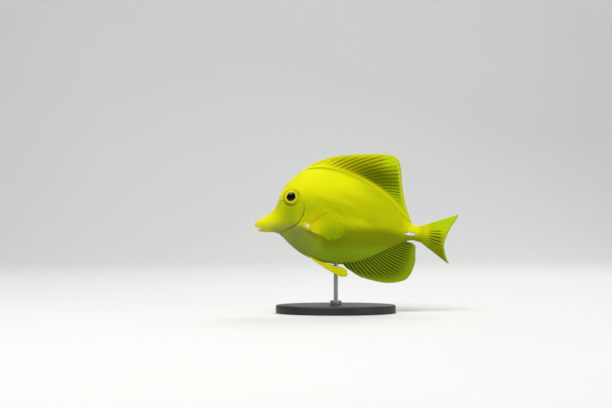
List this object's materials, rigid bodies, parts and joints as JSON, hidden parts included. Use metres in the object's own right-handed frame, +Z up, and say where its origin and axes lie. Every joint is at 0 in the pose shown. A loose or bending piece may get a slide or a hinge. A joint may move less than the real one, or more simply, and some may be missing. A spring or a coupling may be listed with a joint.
{
  "type": "yellow tang",
  "caption": "Yellow tang, a reef fish, as a still life-size model: deep flat body, long snout, tall rayed fins, forked tail and a white blade on the tail stalk, on a rod over an oval base.",
  "frame": {"origin": "the middle of the bounding box's underside, on the surface that the base stands on", "axes": "+X runs from the fish's snout to its tail, +Y to its right side, +Z up"},
  "size_m": [0.1497, 0.054, 0.1166],
  "materials": {
    "skin": "bright lemon-yellow scaled skin with a soft wet sheen, olive towards the belly",
    "fin_skin": "yellow fin membrane over raised rays, olive-green between the rays",
    "eye": "glossy black pupil in an olive-yellow iris",
    "blade": "white, smooth, slightly translucent blade",
    "stand_base": "satin black painted steel plate",
    "stand_rod": "brushed stainless steel rod and collar"
  },
  "bodies": {
    "root": {"head": "skin", "trunk": "skin", "tail_stalk": "skin", "dorsal_fin": "fin_skin", "anal_fin": "fin_skin", "caudal_fin": "fin_skin", "pectoral_fin_left": "fin_skin", "pectoral_fin_right": "fin_skin", "pelvic_fin_left": "fin_skin", "pelvic_fin_right": "fin_skin", "eye_left": "eye", "eye_right": "eye", "tail_blade_left": "blade", "tail_blade_right": "blade", "stand_base": "stand_base", "stand_collar": "stand_rod", "stand_rod": "stand_rod"}
  },
  "joints": []
}
